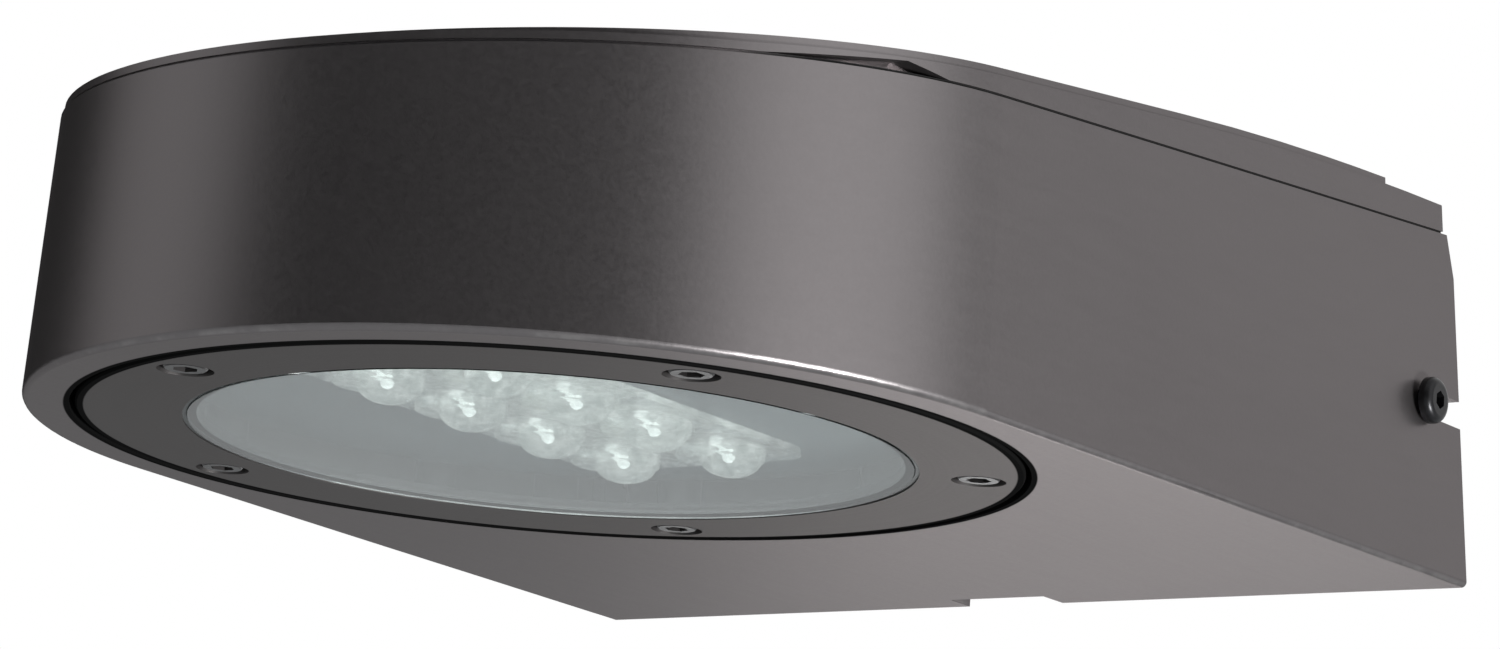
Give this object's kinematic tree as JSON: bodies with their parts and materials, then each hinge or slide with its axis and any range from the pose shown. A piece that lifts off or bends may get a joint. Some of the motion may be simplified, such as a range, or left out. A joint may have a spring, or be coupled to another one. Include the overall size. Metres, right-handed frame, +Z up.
{
  "type": "wall pack light",
  "caption": "Downlight wall pack: tapered D-shaped die-cast housing with a round glazed lens frame underneath, sliding onto a flat wall plate and held by side lock screws.",
  "frame": {"origin": "centre of the wall plate's bolt patterns, in the plane of the wall", "axes": "+Y into the wall, +Z up, +X to the right of someone facing the wall; the round nose points to -Y"},
  "size_m": [0.2568, 0.3219, 0.0965],
  "materials": {
    "housing_paint": "satin bronze-grey powder coat over cast aluminium",
    "frame_paint": "satin bronze-grey powder coat over cast aluminium, turned face",
    "plate_paint": "satin powder coat",
    "black_rubber": "matt black",
    "grey_silicone": "matt grey",
    "dark_screw": "dark plated steel",
    "bright_screw": "zinc plated",
    "black_oxide": "black oxide steel",
    "clear_glass": "clear tempered, faint green edge",
    "reflector_white": "satin pale grey-blue",
    "board_white": "white solder mask",
    "pad_grey": "matt grey",
    "phosphor": "yellow phosphor under clear dome",
    "optic_clear": "clear moulded acrylic",
    "holder_clear": "frosted clear plastic",
    "bare_aluminium": "bare",
    "driver_case": "pale grey",
    "terminal_plastic": "natural",
    "ground_green": "green plated"
  },
  "bodies": {
    "wall_mount": {"wall_plate": "plate_paint", "lock_brackets": "plate_paint", "bracket_rivets": "bright_screw", "wall_gasket": "grey_silicone", "wire_grommet": "black_rubber", "lock_inserts": "bright_screw"},
    "light_body": {"housing": "housing_paint", "top_cover": "housing_paint", "cover_gasket": "black_rubber", "cover_screws": "dark_screw", "reflector_pan": "reflector_white", "led_board": "board_white", "thermal_pad": "pad_grey", "led_emitters": "phosphor", "led_lenses": "optic_clear", "lens_holders": "holder_clear", "board_screws": "bright_screw", "heat_sink": "bare_aluminium", "heat_sink_screws": "bright_screw", "led_driver": "driver_case", "driver_screws": "bright_screw", "terminal_block": "terminal_plastic", "terminal_screws": "bright_screw", "ground_screw": "ground_green"},
    "lens_door": {"lens_frame": "frame_paint", "lens_glass": "clear_glass", "glass_seal": "grey_silicone", "frame_gasket": "black_rubber", "frame_screws": "dark_screw"},
    "left_lock": {"left_lock_screw": "black_oxide"},
    "right_lock": {"right_lock_screw": "black_oxide"}
  },
  "joints": [
    {"name": "housing_slide", "type": "slide", "parent": "wall_mount", "child": "light_body", "axis": [0, -1, 0], "range_m": [0, 0.06]},
    {"name": "lens_frame_drop", "type": "slide", "parent": "light_body", "child": "lens_door", "axis": [0, 0, -1], "range_m": [0, 0.05]},
    {"name": "left_lock_turn", "type": "hinge", "parent": "wall_mount", "child": "left_lock", "pos_m": [-0.12537, -0.0185, 0], "axis": [-1, 0, 0], "continuous": true},
    {"name": "right_lock_turn", "type": "hinge", "parent": "wall_mount", "child": "right_lock", "pos_m": [0.12537, -0.0185, 0], "axis": [1, 0, 0], "continuous": true}
  ]
}
